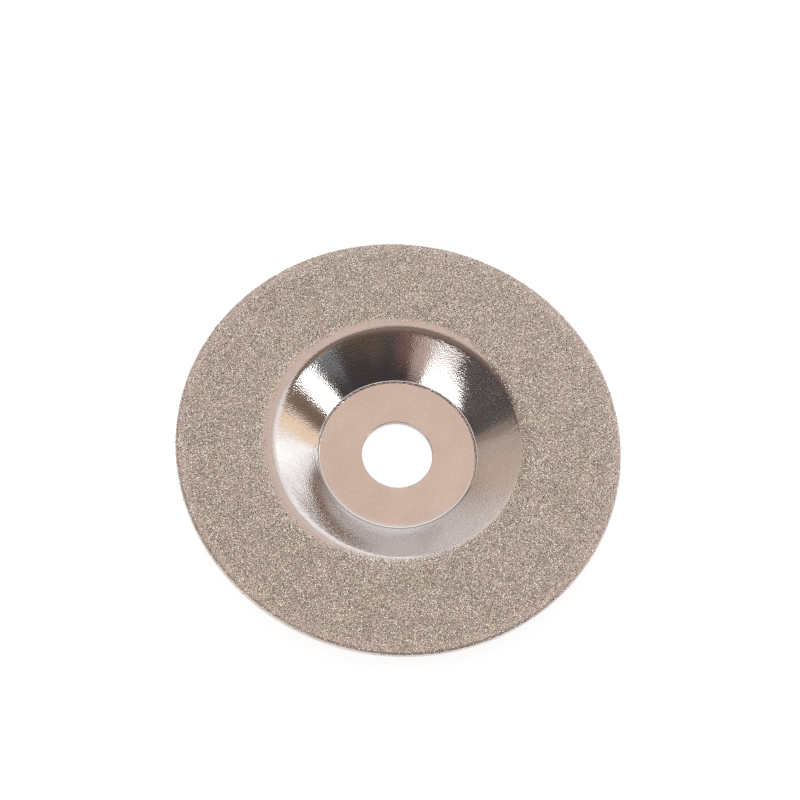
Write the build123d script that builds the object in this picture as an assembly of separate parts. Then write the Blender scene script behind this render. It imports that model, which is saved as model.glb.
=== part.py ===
from build123d import *
import os
from math import atan2, cos, degrees, hypot, radians, sin, sqrt

# Dished diamond grinding disc for a 100 mm angle grinder.  Units: millimetres.
#
# Frame: the disc lies on the flat back of its hub, with its working face up.
# The origin is on the bore's axis at that back face, and +Z is the spindle's
# axis and points out of the working face.
#
# The real disc is one steel pressing under layers that are grown on it in
# plating baths, so its pieces are that pressing and those layers.  They meet
# face to face, and nothing moves.

# ---- driving dimensions --------------------------------------------------
disc_diameter = 100.0         # over the grains on the outer edge
bore_diameter = 16.0          # spindle hole, over the plating
dish_depth = 8.0              # from the hub's front face to the grinding face
finished_plate = 1.30         # pressing and its plating together, front to back

hub_radius = 17.85            # the line where the hub meets the cone
hub_lip_radius = 24.0         # shallow arc by which the hub turns up near that line
hub_lip_angle = 6.0           # how far it has turned up there, in degrees
hub_corner_radius = 0.45      # front of the tight corner between hub and cone
cone_crown_radius = 150.0     # the cone isn't quite straight: its front is a little convex
rim_bend_radius = 4.0         # front of the bend between cone and annulus
annulus_inner_radius = 29.45  # where that bend is over and the flat annulus starts
edge_roll = 0.5               # rounding that blanking leaves on the front edge
edge_break = 0.15             # rounding of the back edge and of both bore edges

plating_thickness = 0.05      # bright nickel, all over the pressing
bond_thickness = 0.15         # nickel that holds the grains, on top of the plating
grit_height = 0.12            # how far the grains stand out of the bond

mask_radius = 29.0            # the round mask that kept the grit out of the dish
mask_offset = (-1.65, 0.57)   # that mask sat a little off the disc's centre

# ---- worked out from them ------------------------------------------------
bore_radius = bore_diameter / 2
wall_radius = disc_diameter / 2 - bond_thickness - grit_height
hub_front_z = finished_plate
annulus_front_z = hub_front_z + dish_depth - bond_thickness - grit_height
annulus_back_z = annulus_front_z - finished_plate

# Each round stretch of the section has one centre, which all layers share.
lip = radians(hub_lip_angle)
lip_to_corner = hub_lip_radius - hub_corner_radius
corner_r = hub_radius - hub_corner_radius * sin(lip)
lip_centre = (corner_r - lip_to_corner * sin(lip), hub_front_z + hub_lip_radius)
corner_centre = (corner_r, lip_centre[1] - lip_to_corner * cos(lip))
bend_centre = (annulus_inner_radius, annulus_front_z - rim_bend_radius)
roll_centre = (wall_radius - edge_roll, annulus_front_z - edge_roll)
back_edge_centre = (wall_radius - edge_break, annulus_back_z + edge_break)
bore_front_centre = (bore_radius + edge_break, hub_front_z - edge_break)
bore_back_centre = (bore_radius + edge_break, edge_break)

# The cone's section is an arc that passes under the corner's circle and over
# the bend's circle and touches both, which fixes its centre and its slopes.
run = bend_centre[0] - corner_centre[0]
rise = bend_centre[1] - corner_centre[1]
gap = hypot(run, rise)
from_corner = cone_crown_radius + hub_corner_radius
from_bend = cone_crown_radius - rim_bend_radius
along = (from_corner ** 2 - from_bend ** 2 + gap ** 2) / (2 * gap)
aside = sqrt(from_corner ** 2 - along ** 2)
cone_centre = (
    corner_centre[0] + (along * run + aside * rise) / gap,
    corner_centre[1] + (along * rise - aside * run) / gap,
)


def lean(centre):
    """Slope in degrees of the cone where its arc meets the circle about this centre."""
    return degrees(atan2(cone_centre[0] - centre[0], centre[1] - cone_centre[1]))


slope_at_hub = lean(corner_centre)
slope_at_bend = lean(bend_centre)

# Directions on those circles, in degrees from +X towards +Z.
hub_down = -90
lip_end = hub_down + hub_lip_angle
corner_end = hub_down + slope_at_hub
face_up = 90
cone_start = face_up + slope_at_hub
cone_end = face_up + slope_at_bend


def arc(centre, radius, start, end):
    """Arc in the XZ plane about this centre, from one direction to another."""
    angles = [radians(a) for a in (start, (start + end) / 2, end)]
    return Edge.make_three_point_arc(
        *[Vector(centre[0] + radius * cos(a), 0, centre[1] + radius * sin(a)) for a in angles]
    )


def turned(stretches):
    """
    Solid turned about Z from a closed section.  The section runs through the
    given arcs and points in turn, with straight lines between them.
    """
    edges = [s for s in stretches if isinstance(s, Edge)]
    ends = [(s @ 0, s @ 1) if isinstance(s, Edge) else (s, s) for s in stretches]
    for (_, last), (first, _) in zip(ends, ends[1:] + ends[:1]):
        if (first - last).length > 1e-6:
            edges.append(Edge.make_line(last, first))
    return revolve(Face(Wire(edges)), Axis.Z)


def dished_plate(inset):
    """The whole plate, with each of its surfaces this far inside the finished one."""
    to_back = finished_plate - inset
    return turned([
        arc(bore_front_centre, edge_break - inset, 180, 90),
        arc(lip_centre, hub_lip_radius + inset, hub_down, lip_end),
        arc(corner_centre, hub_corner_radius + inset, lip_end, corner_end),
        arc(cone_centre, cone_crown_radius - inset, cone_start, cone_end),
        arc(bend_centre, rim_bend_radius - inset, cone_end, face_up),
        arc(roll_centre, edge_roll - inset, 90, 0),
        arc(back_edge_centre, edge_break - inset, 0, -90),
        arc(bend_centre, rim_bend_radius - to_back, face_up, cone_end),
        arc(cone_centre, cone_crown_radius - to_back, cone_end, cone_start),
        arc(corner_centre, hub_corner_radius + to_back, corner_end, lip_end),
        arc(lip_centre, hub_lip_radius + to_back, lip_end, hub_down),
        arc(bore_back_centre, edge_break - inset, -90, -180),
    ])


def coat(low, high, wall_end_z):
    """
    Layer on the front of the plate, from low to high above its finished
    surface.  It runs over the bend, the flat annulus and the rolled edge and
    down the outer wall to wall_end_z, and the mask's round hole is cut out.
    """
    layer = turned([
        arc(bend_centre, rim_bend_radius + high, cone_end, face_up),
        arc(roll_centre, edge_roll + high, 90, 0),
        Vector(wall_radius + high, 0, wall_end_z),
        Vector(wall_radius + low, 0, wall_end_z),
        arc(roll_centre, edge_roll + low, 0, 90),
        arc(bend_centre, rim_bend_radius + low, face_up, cone_end),
    ])
    centre_x, centre_y = mask_offset
    mask = Pos(centre_x, centre_y, annulus_front_z) * Cylinder(mask_radius, 2 * rim_bend_radius)
    return layer - mask


def steel_core():
    """The steel pressing itself, sealed inside its plating."""
    return dished_plate(plating_thickness)


def nickel_plating():
    """The bright nickel skin around the whole pressing, bore and edges included."""
    return dished_plate(0) - dished_plate(plating_thickness)


def nickel_bond():
    """The nickel that the grains are set in, which also covers the outer wall."""
    return coat(0, bond_thickness, back_edge_centre[1])


def diamond_grit():
    """The layer of grains where they stand out of the bond, on the face and the rolled edge."""
    return coat(bond_thickness, bond_thickness + grit_height, roll_centre[1])


pieces = {
    "steel_core": steel_core(),
    "nickel_plating": nickel_plating(),
    "nickel_bond": nickel_bond(),
    "diamond_grit": diamond_grit(),
}

os.makedirs("parts", exist_ok=True)
for name, piece in pieces.items():
    export_step(piece, f"parts/{name}.step")
    print(f"{name}: {len(piece.solids())} solid, {piece.volume:.1f} mm3")
print(f"cone slope {slope_at_hub:.2f} degrees at the hub, {slope_at_bend:.2f} at the bend")
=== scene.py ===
from math import atan2, cos, degrees, hypot, pi, radians, sin, sqrt

import bmesh
import bpy
import numpy as np
from mathutils import Matrix, Vector


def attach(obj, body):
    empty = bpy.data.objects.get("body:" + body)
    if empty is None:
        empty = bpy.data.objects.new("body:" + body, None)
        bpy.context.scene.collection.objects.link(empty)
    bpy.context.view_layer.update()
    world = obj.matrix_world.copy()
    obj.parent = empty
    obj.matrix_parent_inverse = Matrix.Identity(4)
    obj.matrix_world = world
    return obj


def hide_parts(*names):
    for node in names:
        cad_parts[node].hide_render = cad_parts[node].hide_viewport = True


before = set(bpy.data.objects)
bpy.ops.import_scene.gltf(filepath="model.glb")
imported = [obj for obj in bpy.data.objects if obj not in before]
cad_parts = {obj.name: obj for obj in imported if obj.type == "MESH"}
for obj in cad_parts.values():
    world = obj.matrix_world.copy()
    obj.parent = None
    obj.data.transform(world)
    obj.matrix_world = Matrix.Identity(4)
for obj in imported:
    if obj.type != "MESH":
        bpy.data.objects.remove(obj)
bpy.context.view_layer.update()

rng = np.random.default_rng(20)

# Dished diamond grinding disc, lying on its hub with the grit up: a plated steel
# pressing, the nickel bond on its working face, and the grains as real geometry.
# The dish is a mirror, so the room round it is built too, as soft panels of light.

# ---- sizes, in millimetres: the same driving dimensions as the CAD -----------
disc_radius = 50.0
bore_radius = 8.0
dish_depth = 8.0
finished_plate = 1.30
hub_radius = 17.85
hub_lip_radius = 24.0
hub_lip_angle = 6.0
hub_corner_radius = 0.45
cone_crown_radius = 150.0
rim_bend_radius = 4.0
annulus_inner_radius = 29.45
edge_roll = 0.5
edge_break = 0.15
bond_thickness = 0.15
grit_height = 0.12
mask_offset = (-1.65, 0.57)

# ---- sizes of the visual model's own ------------------------------------------
around_steps = 720            # columns of every mesh that is turned about the axis
sheet_sway = 0.012            # how far the pressed cone is out of true
feather = 1.4                 # width over which the grit comes up to full beyond the mask
bond_feather = 3.0            # the same for the bond
edge_wander = 0.15            # how far the bond's edge wanders along the mask
sunk = 0.012                  # how far hidden surfaces lie below the ones that cover them
grain_size = 0.34             # width of a grain, give or take a fifth of it
grain_spacing = 0.32          # from one grain to the next, and from row to row a little less
grain_jitter = 0.4            # how far a grain sits off its even place, as a share of that
grain_root = 0.12             # how deep a grain goes into the bond
stray = 0.5                   # how far single grains lie inside the mask's edge

MM = 0.001

# ---- the pressing's section, worked out as in the CAD ------------------------
wall_radius = disc_radius - bond_thickness - grit_height
annulus_front_z = finished_plate + dish_depth - bond_thickness - grit_height
annulus_back_z = annulus_front_z - finished_plate
grit_face_z = finished_plate + dish_depth
lip = radians(hub_lip_angle)
lip_to_corner = hub_lip_radius - hub_corner_radius
corner_r = hub_radius - hub_corner_radius * sin(lip)
lip_centre = (corner_r - lip_to_corner * sin(lip), finished_plate + hub_lip_radius)
corner_centre = (corner_r, lip_centre[1] - lip_to_corner * cos(lip))
bend_centre = (annulus_inner_radius, annulus_front_z - rim_bend_radius)
roll_centre = (wall_radius - edge_roll, annulus_front_z - edge_roll)
back_edge_centre = (wall_radius - edge_break, annulus_back_z + edge_break)

# the cone's slightly convex arc touches the corner's circle and the bend's
run = bend_centre[0] - corner_centre[0]
rise = bend_centre[1] - corner_centre[1]
gap = hypot(run, rise)
from_corner = cone_crown_radius + hub_corner_radius
from_bend = cone_crown_radius - rim_bend_radius
along = (from_corner ** 2 - from_bend ** 2 + gap ** 2) / (2 * gap)
aside = sqrt(from_corner ** 2 - along ** 2)
cone_centre = (
    corner_centre[0] + (along * run + aside * rise) / gap,
    corner_centre[1] + (along * rise - aside * run) / gap,
)


def lean(centre):
    """Slope in degrees of the cone where its arc meets the circle about this centre."""
    return degrees(atan2(cone_centre[0] - centre[0], centre[1] - cone_centre[1]))


slope_at_bend = lean(bend_centre)
hub_down = -90
lip_end = hub_down + hub_lip_angle
corner_end = hub_down + lean(corner_centre)
face_up = 90
cone_start = face_up + lean(corner_centre)
cone_end = face_up + slope_at_bend


def arc(centre, radius, start, end, steps):
    """Points of the (r, z) section along an arc, angles in degrees from +r towards +z."""
    angles = np.radians(np.linspace(start, end, steps + 1))
    return [(centre[0] + radius * cos(a), centre[1] + radius * sin(a)) for a in angles]


def filled(points, longest):
    """The same closed section, each point once, its straight runs divided into even steps."""
    out = []
    for (r0, z0), (r1, z1) in zip(points, points[1:] + points[:1]):
        length = hypot(r1 - r0, z1 - z0)
        if length > 1e-6:
            steps = max(1, round(length / longest))
            out += [(r0 + (r1 - r0) * i / steps, z0 + (z1 - z0) * i / steps) for i in range(steps)]
    return out


# ---- mesh helpers -------------------------------------------------------------
def mesh_piece(name, vertices, faces, smooth, material, stands_for):
    """A piece from arrays, vertices in millimetres, all faces with the same corner count."""
    vertices = np.asarray(vertices, np.float32) * MM
    faces = np.asarray(faces, np.int32)
    count, corners = faces.shape
    mesh = bpy.data.meshes.new(name)
    mesh.vertices.add(len(vertices))
    mesh.vertices.foreach_set("co", vertices.ravel())
    mesh.loops.add(faces.size)
    mesh.loops.foreach_set("vertex_index", faces.ravel())
    mesh.polygons.add(count)
    mesh.polygons.foreach_set("loop_start", np.arange(0, faces.size, corners, dtype=np.int32))
    mesh.polygons.foreach_set("use_smooth", np.full(count, smooth))
    mesh.update(calc_edges=True)
    mesh.validate()
    piece = bpy.data.objects.new(name, mesh)
    bpy.context.scene.collection.objects.link(piece)
    mesh.materials.append(material)
    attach(piece, "root")
    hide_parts(stands_for)
    return piece


def ring_faces(rows, columns):
    """Quads of a closed ring, from rows of points round its section and columns about Z."""
    i, j = np.meshgrid(np.arange(rows), np.arange(columns), indexing="ij")
    a = i * columns + j
    b = i * columns + (j + 1) % columns
    c = (i + 1) % rows * columns + (j + 1) % columns
    d = (i + 1) % rows * columns + j
    return np.stack([a, b, c, d], -1).reshape(-1, 4)


def waves(seed, count, shortest, longest):
    """A smooth random field of place, in -1..1 or so: a sum of plane waves, lengths in mm."""
    own = np.random.default_rng(seed)
    lengths = np.exp(own.uniform(np.log(shortest), np.log(longest), count))
    directions = own.normal(size=(count, 3))
    directions /= np.linalg.norm(directions, axis=1)[:, None]
    vectors = directions * (2 * pi / lengths)[:, None]
    phases = own.uniform(0, 2 * pi, count)
    weights = lengths / lengths.max()
    weights /= sqrt((weights ** 2).sum() / 2)

    def field(points):
        return np.cos(points @ vectors.T + phases) @ weights / 2

    return field


# ---- node helpers -------------------------------------------------------------
def add(tree, kind, inputs=(), **settings):
    """A node with its settings, and its inputs given as {socket: constant or output}."""
    node = tree.nodes.new(kind)
    for key, value in settings.items():
        setattr(node, key, value)
    for key, value in dict(inputs).items():
        if isinstance(value, bpy.types.NodeSocket):
            tree.links.new(value, node.inputs[key])
        else:
            node.inputs[key].default_value = value
    return node


def maths(tree, operation, a, b=0.0):
    """One sum, product or comparison of two values."""
    return add(tree, "ShaderNodeMath", {0: a, 1: b}, operation=operation).outputs[0]


def ramp(tree, factor, stops):
    """Colours by a factor, as (factor, colour) pairs, straight between them."""
    node = add(tree, "ShaderNodeValToRGB", {"Fac": factor})
    elements = node.color_ramp.elements
    while len(elements) < len(stops):
        elements.new(0.5)
    for element, (position, colour) in zip(elements, stops):
        element.position = position
        element.color = (*colour, 1)
    return node.outputs["Color"]


def new_material(name, **constants):
    """A Principled material and its node tree, with constants on the shader's own sockets."""
    material = bpy.data.materials.new(name)
    material.use_nodes = True
    shader = material.node_tree.nodes["Principled BSDF"]
    for key, value in constants.items():
        shader.inputs[key.replace("_", " ")].default_value = value
    return material, material.node_tree, shader


def noise(tree, size, detail=2.0):
    """Noise over the piece's own coordinates, with features about this many mm across."""
    place = add(tree, "ShaderNodeTexCoord").outputs["Object"]
    return add(tree, "ShaderNodeTexNoise",
               {"Vector": place, "Scale": 1 / (size * MM), "Detail": detail}).outputs["Fac"]


def across(tree, axis, start, end):
    """0 up to one place along X or Y and 1 beyond another, both in mm, and even between."""
    place = add(tree, "ShaderNodeTexCoord").outputs["Object"]
    value = add(tree, "ShaderNodeSeparateXYZ", {0: place}).outputs[axis]
    return add(tree, "ShaderNodeMapRange",
               {"Value": value, "From Min": start * MM, "From Max": end * MM}).outputs[0]


def by_radius(tree, stops, centre=(0, 0)):
    """A value by distance from an upright axis: (mm, value) pairs, straight between them."""
    place = add(tree, "ShaderNodeTexCoord").outputs["Object"]
    axis = (centre[0] * MM, centre[1] * MM, 0)
    aside = add(tree, "ShaderNodeVectorMath", {0: place, 1: axis}, operation="SUBTRACT")
    flat = add(tree, "ShaderNodeVectorMath", {0: aside.outputs[0], 1: (1, 1, 0)},
               operation="MULTIPLY")
    radius = add(tree, "ShaderNodeVectorMath", {0: flat.outputs[0]}, operation="LENGTH")
    value = stops[0][1]
    for (r0, v0), (r1, v1) in zip(stops, stops[1:]):
        step = add(tree, "ShaderNodeMapRange",
                   {"Value": radius.outputs["Value"], "From Min": r0 * MM, "From Max": r1 * MM,
                    "To Min": 0.0, "To Max": v1 - v0})
        value = maths(tree, "ADD", step.outputs[0], value)
    return value


def blend(tree, factor, a, b):
    """Colour a where the factor is 0 and b where it is 1."""
    mix = add(tree, "ShaderNodeMix", data_type="RGBA")
    tree.links.new(factor, mix.inputs["Factor"])
    tree.links.new(a, mix.inputs["A"])
    tree.links.new(b, mix.inputs["B"])
    return mix.outputs["Result"]


def over(tree, mask, behind, colour):
    """A colour laid over what is behind it where the mask is 1."""
    mix = add(tree, "ShaderNodeMix", data_type="RGBA")
    tree.links.new(mask, mix.inputs["Factor"])
    tree.links.new(behind, mix.inputs["A"])
    mix.inputs["B"].default_value = (*colour, 1)
    return mix.outputs["Result"]


def times(tree, a, b):
    """Two colours multiplied."""
    mix = add(tree, "ShaderNodeMix", data_type="RGBA", blend_type="MULTIPLY")
    mix.inputs["Factor"].default_value = 1.0
    tree.links.new(a, mix.inputs["A"])
    tree.links.new(b, mix.inputs["B"])
    return mix.outputs["Result"]


# ---- materials ------------------------------------------------------------------
# The radii in these, in mm, run from the bore's edge at 8 over the hub's rim at 17.85,
# the cone's end at 27.2 and the flat's start at 29.45 to the wall at 49.7.
def in_dish(tree):
    """1 on the cone, 0 on the hub and the flat annulus."""
    return by_radius(tree, [(17.7, 0.0), (18.2, 1.0), (27.5, 1.0), (28.8, 0.0)])


def nickel_colour(tree):
    """Slow stains and fine mottle, paler where the sheet was drawn thin, with a painted highlight
    along the hub's rim and painted shade in the crease outside it.
    """
    stain = noise(tree, 9.0, detail=4.0)
    flat = ramp(tree, stain, [(0.32, (0.755, 0.685, 0.635)), (0.68, (0.815, 0.745, 0.695))])
    drawn_thin = ramp(tree, stain, [(0.35, (0.82, 0.805, 0.79)), (0.65, (0.86, 0.845, 0.83))])
    # a painted highlight, a near-white line, runs along the hub's rim, and painted shade darkens
    # the crease outside it;
    # the flat band beyond the dish is a little darker in tone too
    painted_rim_highlight = by_radius(tree, [(17.50, 0.0), (17.58, 1.0), (17.72, 1.0), (17.80, 0.0)])
    # painted shade in the crease outside the hub's rim, and a slightly darker tone from 29 mm
    # outwards
    crease_shade_and_flat_tone = by_radius(tree, [(17.78, 1.0), (17.88, 0.45), (17.97, 0.45), (18.08, 1.0),
                              (29.0, 1.0), (29.6, 0.95)])
    mottle = ramp(tree, noise(tree, 0.7, detail=3.0), [(0.3, (0.955,) * 3), (0.7, (1.045,) * 3)])
    base = times(tree, blend(tree, in_dish(tree), flat, drawn_thin), mottle)
    return times(tree, over(tree, painted_rim_highlight, base, (1.0, 0.98, 0.96)), crease_shade_and_flat_tone)


def nickel_roughness(tree):
    """Polished in the dish and hazy on the flat, with fine matt specks on the dish's +X side."""
    haze = by_radius(tree, [(27.5, 0.07), (29.4, 0.22), (31.0, 0.30), (49.0, 0.30), (49.5, 0.5)])
    specks = add(tree, "ShaderNodeMapRange", {"Value": noise(tree, 0.20), "From Min": 0.54,
                                              "From Max": 0.66, "To Max": 0.24}).outputs[0]
    speckled = maths(tree, "MULTIPLY", across(tree, "X", 12.5, 20), in_dish(tree))
    return maths(tree, "ADD", haze, maths(tree, "MULTIPLY", specks, speckled))


def nickel_relief(tree):
    """The surface's unevenness: several noises, each with its own strength from place to place."""
    plus_x = across(tree, "X", 7, 13)
    fainter = maths(tree, "SUBTRACT", 1.0, maths(tree, "MULTIPLY", plus_x, 0.45))
    drawn = by_radius(tree, [(8.15, 1.2), (8.6, 0.7), (9.7, 0.05), (17.6, 0.06), (18.2, 1.0),
                             (19.0, 0.8), (24.0, 1.0), (27.0, 1.4), (28.5, 1.0), (29.5, 0.3)])
    dented = by_radius(tree, [(17.8, 0.0), (19.0, 0.4), (25.0, 0.5), (27.0, 2.0), (29.3, 0.2)])
    # the corner between hub and cone is beaded, and worn flat on the -Y side
    corner = by_radius(tree, [(17.6, 0.0), (17.75, 20.0), (18.1, 20.0), (18.25, 0.0)])
    beaded = maths(tree, "MULTIPLY", corner, across(tree, "Y", -5, 4))
    # the near half of the +X side is rubbed with fine scratches
    rubbed = maths(tree, "MULTIPLY", maths(tree, "MULTIPLY", plus_x, across(tree, "Y", 9, 1)),
                   by_radius(tree, [(18.0, 0.0), (18.3, 2.6), (28.0, 2.6), (29.2, 0.0)]))

    orange_peel = maths(tree, "MULTIPLY", noise(tree, 0.32, detail=1.0), fainter)
    height = maths(tree, "MULTIPLY", orange_peel, drawn)
    for texture, strength in [(noise(tree, 0.9), dented), (noise(tree, 0.5, detail=1.0), beaded),
                              (noise(tree, 0.24), rubbed)]:
        height = maths(tree, "ADD", height, maths(tree, "MULTIPLY", texture, strength))
    return height


def bright_nickel():
    """Bright nickel over pressed sheet: mirror-like, with orange peel where it was drawn."""
    material, tree, shader = new_material("bright_nickel", Metallic=1.0, IOR=1.5)
    bump = add(tree, "ShaderNodeBump",
               {"Height": nickel_relief(tree), "Strength": 1.0, "Distance": 0.018 * MM})
    tree.links.new(nickel_colour(tree), shader.inputs["Base Color"])
    tree.links.new(nickel_roughness(tree), shader.inputs["Roughness"])
    tree.links.new(bump.outputs[0], shader.inputs["Normal"])
    return material


def satin_nickel():
    """The nickel that has grown up between the grains."""
    material, tree, shader = new_material("satin_nickel", Metallic=1.0)
    patch = noise(tree, 5.0, detail=3.0)
    grown = ramp(tree, patch, [(0.35, (0.645, 0.575, 0.50)), (0.65, (0.74, 0.645, 0.575))])
    thin = ramp(tree, patch, [(0.35, (0.77, 0.69, 0.64)), (0.65, (0.79, 0.72, 0.67))])
    # thin and without nodules by the mask and towards the outer edge, and dull down the wall
    from_mask = by_radius(tree, [(28.9, 0.0), (30.6, 1.0)], mask_offset)
    from_wall = by_radius(tree, [(46.8, 1.0), (49.3, 0.25), (49.7, 0.0)])
    full = maths(tree, "MULTIPLY", from_mask, from_wall)
    tree.links.new(blend(tree, full, thin, grown), shader.inputs["Base Color"])
    dull = by_radius(tree, [(48.8, 0.22), (49.5, 0.5)])
    tree.links.new(maths(tree, "ADD", maths(tree, "MULTIPLY", full, 0.12), dull),
                   shader.inputs["Roughness"])
    nodules = maths(tree, "MULTIPLY", noise(tree, 0.15), full)
    bump = add(tree, "ShaderNodeBump",
               {"Height": nodules, "Strength": 1.0, "Distance": 0.03 * MM})
    tree.links.new(bump.outputs[0], shader.inputs["Normal"])
    return material


def diamond():
    """Diamond grains: glassy facets, each grain with its own shade from near black to white."""
    material, tree, shader = new_material("diamond_grain", Roughness=0.16, IOR=2.4)
    each = add(tree, "ShaderNodeNewGeometry").outputs["Random Per Island"]
    shade = ramp(tree, each, [
        (0.0, (0.010, 0.008, 0.006)), (0.40, (0.16, 0.140, 0.117)),
        (0.70, (0.56, 0.50, 0.44)), (0.87, (0.98, 0.94, 0.89)), (1.0, (1.0, 1.0, 0.98)),
    ])
    patch = ramp(tree, noise(tree, 7.0, detail=3.0), [
        (0.38, (0.93, 0.98, 0.84)), (0.62, (1.0, 0.96, 0.94)),
    ])
    tree.links.new(times(tree, shade, patch), shader.inputs["Base Color"])
    return material


def bare_steel():
    """The pressed sheet under the plating."""
    material, tree, shader = new_material("bare_steel", Metallic=1.0, Roughness=0.4)
    colour = ramp(tree, noise(tree, 3.0), [(0.3, (0.42, 0.42, 0.43)), (0.7, (0.56, 0.56, 0.57))])
    tree.links.new(colour, shader.inputs["Base Color"])
    return material


# ---- pieces ---------------------------------------------------------------------
def steel_core(material):
    """The pressing itself, which stays as the CAD made it and only needs its material."""
    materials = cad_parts["steel_core"].data.materials
    materials.clear()
    materials.append(material)


def nickel_skin(material):
    """The plated pressing: its section turned about Z, and a little out of true."""
    t = finished_plate
    section = (
        arc((bore_radius + edge_break, t - edge_break), edge_break, 180, 90, 5)
        + arc(lip_centre, hub_lip_radius, hub_down, lip_end, 6)
        + arc(corner_centre, hub_corner_radius, lip_end, corner_end, 8)
        + arc(cone_centre, cone_crown_radius, cone_start, cone_end, 14)
        + arc(bend_centre, rim_bend_radius, cone_end, face_up, 12)
        + arc(roll_centre, edge_roll, 90, 0, 5)
        + arc(back_edge_centre, edge_break, 0, -90, 4)
        + arc(bend_centre, rim_bend_radius - t, face_up, cone_end, 8)
        + arc(cone_centre, cone_crown_radius - t, cone_end, cone_start, 10)
        + arc(corner_centre, hub_corner_radius + t, corner_end, lip_end, 7)
        + arc(lip_centre, hub_lip_radius + t, lip_end, hub_down, 4)
        + arc((bore_radius + edge_break, edge_break), edge_break, -90, -180, 5)
    )
    section = np.array(filled(section, longest=0.9))
    angle = np.arange(around_steps) * 2 * pi / around_steps
    r, z = section[:, 0][:, None], section[:, 1][:, None]
    points = np.stack([r * np.cos(angle), r * np.sin(angle), z + 0 * angle], -1).reshape(-1, 3)

    # pressed sheet isn't quite true: the cone sways, and the hub and the annulus don't
    sway = waves(seed=3, count=24, shortest=6.0, longest=22.0)(points)
    radius = np.hypot(points[:, 0], points[:, 1])
    on_cone = np.clip((radius - hub_radius) / 1.5, 0, 1) * np.clip((28.5 - radius) / 3.0, 0, 1)
    points[:, 2] += sheet_sway * sway * on_cone
    return mesh_piece("nickel_skin", points, ring_faces(len(section), around_steps), True,
                      material, "nickel_plating")


def mask_edge(angle):
    """
    Distance from the axis to the mask's edge.  The mask sat off the centre: it covered a
    band of the flat on one side, and let the grit run down the bend on the other.
    """
    middle, swing = 28.5, 1.35
    far_side, shift, softness = radians(155), 0.10, 0.25
    return middle + swing * np.tanh((np.cos(angle - far_side) + shift) / softness)


# lengths along the plate's front: the bend, the flat, and from the bend's end to the wall's
bend_length = rim_bend_radius * radians(slope_at_bend)
flat_length = roll_centre[0] - annulus_inner_radius
wall_end = flat_length + edge_roll * pi / 2 + (roll_centre[1] - back_edge_centre[1])


def bond_rise(beyond):
    """Thickness of the bond this far beyond the mask's edge, a little sunk where it starts."""
    share = (1 - np.cos(np.clip(beyond / bond_feather, 0, 1) * pi)) / 2
    return (bond_thickness + sunk) * share - sunk


def on_front(u, height):
    """
    (r, z) of points this high over the plating's front, and their normals.  u runs
    outwards along that front from the bend's outer end: less than 0 on the bend,
    then the flat annulus, the rolled edge and down the wall.
    """
    u, height = np.broadcast_arrays(np.asarray(u, float), height)
    bend = np.clip(-u / rim_bend_radius, 0, None)
    roll = np.clip((u - flat_length) / edge_roll, 0, pi / 2)
    down = np.clip(u - flat_length - edge_roll * pi / 2, 0, None)
    normal_r = np.where(u < 0, -np.sin(bend), np.sin(roll))
    normal_z = np.where(u < 0, np.cos(bend), np.cos(roll))
    centre_r = np.where(u < 0, bend_centre[0], roll_centre[0])
    centre_z = np.where(u < 0, bend_centre[1], roll_centre[1])
    reach = np.where(u < 0, rim_bend_radius, edge_roll) + height
    r = centre_r + reach * normal_r
    z = centre_z + reach * normal_z - down
    flat = (u >= 0) & (u <= flat_length)
    r = np.where(flat, annulus_inner_radius + u, r)
    z = np.where(flat, annulus_front_z + height, z)
    return r, z, normal_r, normal_z


def bond_ring(material):
    """The nickel bond: feathered out at the mask's edge, full over the face, roll and wall."""
    angle = np.arange(around_steps) * 2 * pi / around_steps
    edge = mask_edge(angle)
    rim = np.stack([edge * np.cos(angle), edge * np.sin(angle), 0 * angle], -1)
    edge = edge + edge_wander * waves(seed=7, count=30, shortest=0.8, longest=6.0)(rim)
    slope = np.clip((annulus_inner_radius - edge) / rim_bend_radius, 0, sin(radians(slope_at_bend)))
    start = np.where(edge < annulus_inner_radius,
                     -rim_bend_radius * np.arcsin(slope), edge - annulus_inner_radius)

    # from the mask's edge to the flat's end, in finer steps at first, then down roll and wall
    fine = 0.08
    shares = np.concatenate([np.linspace(0, fine, 9)[:-1], np.linspace(fine, 1, 44)])
    rolled = flat_length + edge_roll * pi / 2 * np.linspace(0.15, 1, 6)
    down = np.linspace(rolled[-1], wall_end, 5)[1:]
    top = np.concatenate([
        start + shares[:, None] * (flat_length - start),
        np.repeat(np.concatenate([rolled, down])[:, None], around_steps, 1),
    ])
    under = top[::-1][::2]
    u = np.concatenate([top, under])
    height = np.concatenate([bond_rise(top - start), 0 * under - 2 * sunk])
    r, z, _, _ = on_front(u, height)
    points = np.stack([r * np.cos(angle), r * np.sin(angle), z], -1).reshape(-1, 3)
    return mesh_piece("bond_ring", points, ring_faces(len(u), around_steps), True,
                      material, "nickel_bond")


def grain_shapes():
    """Some crushed-crystal shapes, as (vertices, triangles): hulls of points round a ball."""
    push, pushes = 0.05, 30
    shapes = []
    for count in (6, 6, 7, 7, 8, 8, 9):
        points = rng.normal(size=(count, 3))
        points /= np.linalg.norm(points, axis=1)[:, None]
        for _ in range(pushes):
            apart = points[:, None] - points[None]
            distance = np.linalg.norm(apart, axis=2) + np.eye(count)
            points = points + push * (apart / distance[..., None] ** 3).sum(1)
            points /= np.linalg.norm(points, axis=1)[:, None]
        points *= rng.uniform(0.82, 1.0, (count, 1))
        hull = bmesh.new()
        for point in points:
            hull.verts.new(point)
        bmesh.ops.convex_hull(hull, input=hull.verts)
        bmesh.ops.triangulate(hull, faces=hull.faces)
        hull.verts.index_update()
        shapes.append((
            np.array([v.co for v in hull.verts]),
            np.array([[v.index for v in f.verts] for f in hull.faces]),
        ))
        hull.free()
    return shapes


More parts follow.
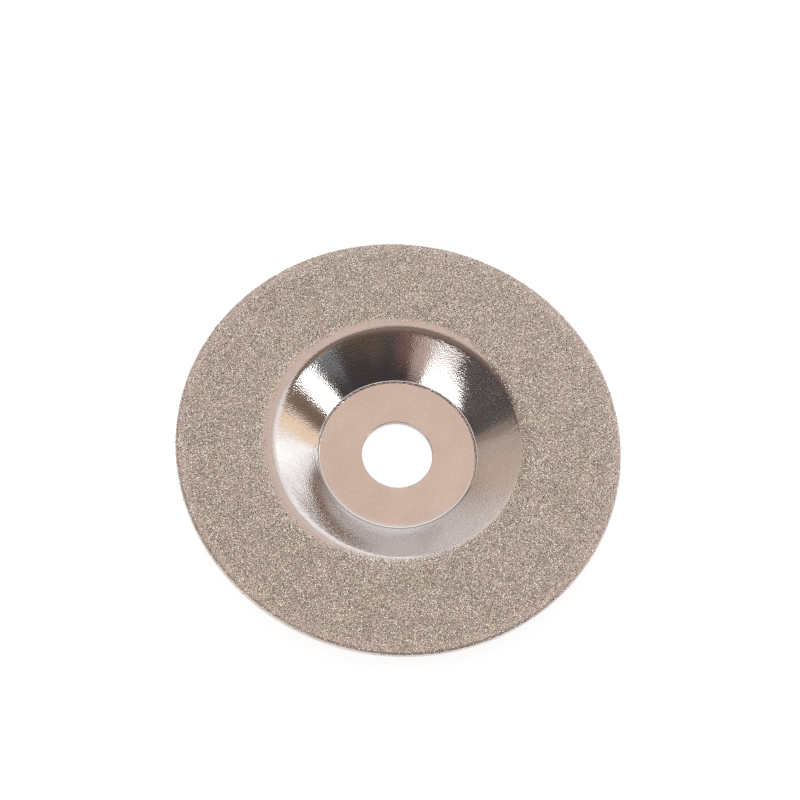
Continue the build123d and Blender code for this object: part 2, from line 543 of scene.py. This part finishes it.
def random_turns(count):
    """Rotation matrices, evenly random."""
    q = rng.normal(size=(count, 4))
    w, x, y, z = (q / np.linalg.norm(q, axis=1)[:, None]).T
    return np.stack([
        1 - 2 * (y * y + z * z), 2 * (x * y - z * w), 2 * (x * z + y * w),
        2 * (x * y + z * w), 1 - 2 * (x * x + z * z), 2 * (y * z - x * w),
        2 * (x * z - y * w), 2 * (y * z + x * w), 1 - 2 * (x * x + y * y),
    ], -1).reshape(-1, 3, 3)


def grain_places():
    """
    (angle, u, distance beyond the mask's edge) of every grain: jittered rows, thinned
    towards that edge and over the rolled edge, with none on the wall.
    """
    angles, us = [], []
    for u in np.arange(-bend_length, wall_end, grain_spacing * sqrt(3) / 2):
        r = on_front(u, bond_thickness)[0]
        count = int(2 * pi * r / grain_spacing)
        places = np.arange(count) + rng.uniform(-grain_jitter, grain_jitter, count)
        angles.append(2 * pi / count * (places + rng.uniform()))
        us.append(u + grain_spacing * rng.uniform(-grain_jitter, grain_jitter, count))
    angle, u = np.concatenate(angles), np.concatenate(us)
    beyond = on_front(u, 0)[0] - mask_edge(angle)
    near_mask = np.clip(0.15 + beyond / feather, 0, 1) * (beyond > -stray)
    fringe = np.interp(u, [flat_length - 2.5, flat_length, flat_length + 0.5, flat_length + 0.8],
                       [1.0, 0.70, 0.25, 0.0])
    kept = rng.uniform(size=len(u)) < near_mask * fringe
    return angle[kept], u[kept], beyond[kept]


def grain_bodies(corners, triangles, angle, u, scale, turns, bottom, top):
    """Vertices and triangles of all the grains of one shape, each at its own place."""
    body = np.einsum("nij,nkj->nki", turns, corners[None] * scale[:, None])
    # heights run along the surface's normal, from the grain's bottom to its top
    low = body[:, :, 2].min(1, keepdims=True)
    high = body[:, :, 2].max(1, keepdims=True)
    share = (body[:, :, 2] - low) / (high - low)
    height = bottom[:, None] + share * (top - bottom)[:, None]
    r, z, normal_r, normal_z = on_front(u[:, None], height)
    r = r + body[:, :, 0] * normal_z
    z = np.minimum(z - body[:, :, 0] * normal_r, grit_face_z)
    a = angle[:, None]
    x = r * np.cos(a) - body[:, :, 1] * np.sin(a)
    y = r * np.sin(a) + body[:, :, 1] * np.cos(a)
    first = len(corners) * np.arange(len(u))
    faces = (triangles[None] + first[:, None, None]).reshape(-1, 3)
    return np.stack([x, y, z], -1).reshape(-1, 3), faces


def grit(material, sectors=8):
    """The grains themselves, in sectors, every one a closed crystal half sunk in the bond."""
    shapes = grain_shapes()
    angle, u, beyond = grain_places()
    bond = np.maximum(bond_rise(beyond), 0)
    count = len(angle)
    kind = rng.integers(len(shapes), size=count)
    # the grains that settled by the mask are the small ones
    grown = np.interp(beyond, [-stray, feather], [0.45, 1.0])
    scale = grain_size / 2 * rng.uniform(0.75, 1.15, (count, 3)) * grown[:, None]
    turns = random_turns(count)
    top = bond + grit_height * rng.uniform(0.35, 1.0, count) * grown
    bottom = np.maximum(bond - grain_root, 0)
    sector = (angle % (2 * pi) * sectors / (2 * pi)).astype(int) % sectors
    for s in range(sectors):
        vertices, faces, total = [], [], 0
        for k, shape in enumerate(shapes):
            here = (sector == s) & (kind == k)
            points, triangles = grain_bodies(*shape, angle[here], u[here], scale[here],
                                             turns[here], bottom[here], top[here])
            vertices.append(points)
            faces.append(triangles + total)
            total += len(points)
        mesh_piece(f"grit_{s + 1}", np.concatenate(vertices), np.concatenate(faces), False,
                   material, "diamond_grit")


# ---- studio ---------------------------------------------------------------------
def direction(azimuth, elevation):
    """Unit vector; azimuth from +X towards +Y, elevation above the horizon, in degrees."""
    a, e = radians(azimuth), radians(elevation)
    return Vector((cos(a) * cos(e), sin(a) * cos(e), sin(e)))


def edge_mask(tree, ray, normal, at, soft):
    """1 where the ray's share along the normal is above this, else 0, this soft in degrees."""
    dot = add(tree, "ShaderNodeVectorMath", {0: ray, 1: normal}, operation="DOT_PRODUCT")
    half = sin(radians(soft)) / 2
    return add(tree, "ShaderNodeMapRange",
               {"Value": dot.outputs["Value"], "From Min": at - half, "From Max": at + half},
               interpolation_type="SMOOTHSTEP").outputs[0]


def card(tree, ray, behind, corners, colour, soft, mask=1.0):
    """A convex panel where the mask is 1: corners as (azimuth, elevation), edges this soft."""
    middle = sum((direction(*corner) for corner in corners), Vector())
    for start, end in zip(corners, corners[1:] + corners[:1]):
        normal = direction(*start).cross(direction(*end)).normalized()
        if normal.dot(middle) < 0:
            normal.negate()
        mask = maths(tree, "MULTIPLY", edge_mask(tree, ray, normal, 0.0, soft), mask)
    return over(tree, mask, behind, colour)


def cap(tree, ray, behind, centre, half_angle, colour, soft, mask=1.0):
    """A round panel where the mask is 1, about a centre given as (azimuth, elevation)."""
    inside = edge_mask(tree, ray, direction(*centre), cos(radians(half_angle)),
                       soft * sin(radians(half_angle)))
    return over(tree, maths(tree, "MULTIPLY", inside, mask), behind, colour)


# what the polished dish mirrors, back to front: (corners, colour, softness in degrees)
panels = [
    # pale wall beyond the disc
    ([(12, 2), (90, -40), (172, 2), (160, 60), (90, 84), (20, 60)], (0.91, 0.83, 0.815), 6),
    # beige wall, far left, with a warm patch, a brown curtain at its end and a low chest
    ([(104, 14), (180, 38), (180, 60), (150, 60), (104, 42)], (0.55, 0.45, 0.37), 6),
    ([(138, -10), (176, -10), (180, 30), (139, 34)], (0.50, 0.40, 0.345), 6),
    ([(136, 12.5), (158, 13.5), (158, 23), (140, 20)], (0.67, 0.49, 0.38), 5),
    ([(174, -10), (180, -10), (180, 32), (173, 32)], (0.29, 0.22, 0.19), 3),
    ([(114, -8), (114, 4.5), (134, 10.5), (142, 12.3), (152, 13.2), (152, -8)],
     (0.45, 0.35, 0.31), 2),
    # lit window, right, its pale frame, and the warm curtain next to it
    ([(82, -10), (40, -10), (34, 30), (64, 40)], (0.97, 0.93, 0.95), 16),
    ([(53, -10), (31, -10), (27, 22), (43, 34)], (1.16, 1.13, 1.13), 9),
    ([(33, -5), (20, 0), (16, 28), (26, 34)], (0.90, 0.68, 0.52), 7),
    # sill below the window
    ([(30, -8), (30, 9.5), (42, 8), (56, 5.6), (72, 2.8), (72, -8)], (0.45, 0.38, 0.36), 3),
    # brown door on the right
    ([(20, 0), (5, 8), (1, 44), (14, 40)], (0.22, 0.15, 0.11), 5),
    # dark room behind the camera
    ([(-18, 14), (-95, 16), (-95, 38), (-18, 35)], (0.055, 0.045, 0.048), 4),
    # strip light, right
    ([(2, 8), (2, 44), (-4.5, 40), (-20.5, 14)], (2.4, 2.3, 2.3), 2.5),
    # blue-grey screen beside it
    ([(-6, 33), (-27, 34), (-25, 50), (-6, 50)], (0.26, 0.265, 0.275), 6),
    # brown cupboard behind the camera
    ([(-32, 38), (-62, 41), (-62, 54), (-32, 52)], (0.13, 0.09, 0.062), 5),
    # brown beam above the screen
    ([(-20, 50), (10, 46), (10, 62), (-20, 64)], (0.27, 0.19, 0.145), 6),
    # red cloth behind the camera, and the pink edge of the doorway beside it
    ([(-74, 40.5), (-92, 40.5), (-92, 55), (-74, 55)], (0.19, 0.105, 0.09), 6),
    ([(-88, 38), (-104, 36), (-104, 50), (-88, 50)], (0.46, 0.345, 0.305), 4),
    # grey wall above the softbox
    ([(-103, 37), (-103, 47.5), (-128, 44), (-126, 37)], (0.76, 0.68, 0.64), 4),
    ([(-107, 38), (-107, 46.5), (-117, 46), (-117, 38)], (1.0, 0.93, 0.89), 4),
    # softbox, near left
    ([(-102.5, 22), (-102.5, 39.5), (-118, 40), (-134, 37.4), (-148, 31), (-158, 23.5),
      (-150, 16)], (2.4, 2.35, 2.35), 2.5),
]
# a brown shelf and a cupboard, high up beyond the disc, that only show mirrored twice
shelf = [(23, 61), (36, 56), (60, 61), (74, 67), (84, 72), (79, 75.5), (50, 75), (29, 70)]
cupboard = [(116, 63), (134, 65), (137, 71), (118, 70.5)]


def mirrored_room(tree, ray, depth):
    """Colour of what a mirror shows in this direction, after this depth of bounces."""
    up = add(tree, "ShaderNodeSeparateXYZ", {0: ray}).outputs["Z"]
    room = ramp(tree, up, [
        (0.0, (0.11, 0.092, 0.088)), (0.45, (0.10, 0.083, 0.083)), (0.71, (0.10, 0.080, 0.076)),
        (0.84, (0.16, 0.115, 0.10)), (0.93, (0.23, 0.17, 0.15)), (1.0, (0.27, 0.20, 0.165)),
    ])
    for corners, colour, soft in panels:
        room = card(tree, ray, room, corners, colour, soft)
    blotches = add(tree, "ShaderNodeTexNoise", {"Vector": ray, "Scale": 9.0, "Detail": 4.0})
    uneven = ramp(tree, blotches.outputs["Fac"], [(0.3, (0.80,) * 3), (0.7, (1.20,) * 3)])
    room = times(tree, room, uneven)

    # the upper wall, and what hangs on it: a pink card for rays that were mirrored once, a
    # shelf and a cupboard for those mirrored twice, a pale patch for those mirrored more
    # often.  The depth is 2 after one mirroring and 3 after two.
    once = maths(tree, "LESS_THAN", depth, 2.5)
    more = maths(tree, "GREATER_THAN", depth, 3.5)
    twice = maths(tree, "SUBTRACT", maths(tree, "SUBTRACT", 1.0, once), more)
    room = cap(tree, ray, room, (90, 64), 27, (0.69, 0.62, 0.615), 8)
    room = cap(tree, ray, room, (90, 55), 8, (0.82, 0.77, 0.77), 6)
    room = cap(tree, ray, room, (90, 71), 10, (0.785, 0.63, 0.565), 4, once)
    room = cap(tree, ray, room, (90, 68), 18, (0.92, 0.92, 0.98), 5, more)
    room = card(tree, ray, room, shelf, (0.21, 0.115, 0.07), 3, twice)
    room = card(tree, ray, room, cupboard, (0.40, 0.32, 0.29), 2, twice)
    # the ceiling overhead, and all that lies below the horizon
    room = cap(tree, ray, room, (0, 90), 7, (0.25, 0.185, 0.155), 4)
    return cap(tree, ray, room, (0, -90), 93.5, (0.33, 0.27, 0.25), 4)


def studio():
    """The room for mirror-like rays, soft light for the others, plain pale for the camera."""
    world = bpy.data.worlds.new("studio")
    bpy.context.scene.world = world
    world.use_nodes = True
    world.cycles.sampling_method = "NONE"
    tree = world.node_tree
    ray = add(tree, "ShaderNodeTexCoord").outputs["Generated"]
    paths = add(tree, "ShaderNodeLightPath").outputs
    # the soft light is brighter from the far left
    side = edge_mask(tree, ray, direction(130, 30), 0.0, 90)
    soft = ramp(tree, side, [(0.0, (0.72,) * 3), (1.0, (1.30,) * 3)])
    room = mirrored_room(tree, ray, paths["Ray Depth"])
    light = blend(tree, paths["Is Glossy Ray"], soft, room)
    light = over(tree, paths["Is Camera Ray"], light, (0.95, 0.95, 0.95))
    tree.links.new(light, tree.nodes["Background"].inputs["Color"])


def floor():
    """A pale table that glows a little, as a product photographer's light table does."""
    material, tree, shader = new_material(
        "pale_floor", Base_Color=(0.30, 0.30, 0.30, 1), Roughness=0.9, Specular_IOR_Level=0.0,
        Emission_Color=(1.0, 1.0, 1.0, 1), Emission_Strength=0.75,
    )
    # what mirrors the table shows it darker below the bore, where it is out of the light
    shaded = add(tree, "ShaderNodeEmission", {"Color": (0.70, 0.65, 0.66, 1)})
    patch = maths(tree, "MULTIPLY", by_radius(tree, [(14.0, 1.0), (18.0, 0.0)]),
                  add(tree, "ShaderNodeLightPath").outputs["Is Glossy Ray"])
    mix = add(tree, "ShaderNodeMixShader", {0: patch, 1: shader.outputs[0], 2: shaded.outputs[0]})
    tree.links.new(mix.outputs[0], tree.nodes["Material Output"].inputs["Surface"])
    # 12 m of it, so that its edge is out of the photograph's view
    bpy.ops.mesh.primitive_plane_add(size=12, location=(0, 0, -sunk * MM))
    ground = bpy.context.object
    ground.name = "floor"
    ground.data.materials.append(material)


def camera():
    """Above the near side, rolled a little, aimed a bit beyond the axis at the grit's height."""
    # fitted to the circles of the outer edge, the dish and the bore
    tilt, roll, distance = radians(24.41), radians(10.04), 504.06
    aim = Vector((-1.54, 9.83, grit_face_z))
    turn = Matrix.Rotation(tilt, 4, "X") @ Matrix.Rotation(roll, 4, "Z")
    back = turn @ Vector((0, 0, 1))
    data = bpy.data.cameras.new("camera")
    data.sensor_width = 36.0
    data.lens = 100.8
    data.clip_start, data.clip_end = 0.01, 20
    view = bpy.data.objects.new("camera", data)
    view.matrix_world = Matrix.Translation((aim + back * distance) * MM) @ turn
    bpy.context.scene.collection.objects.link(view)
    bpy.context.scene.camera = view


bpy.context.scene.view_settings.view_transform = "Standard"
# the sparkle of the grains is as fine as the noise that a denoiser takes out
bpy.context.scene.cycles.use_denoising = False
bpy.context.scene.cycles.filter_width = 1.2
steel_core(bare_steel())
nickel_skin(bright_nickel())
bond_ring(satin_nickel())
grit(diamond())
studio()
floor()
camera()
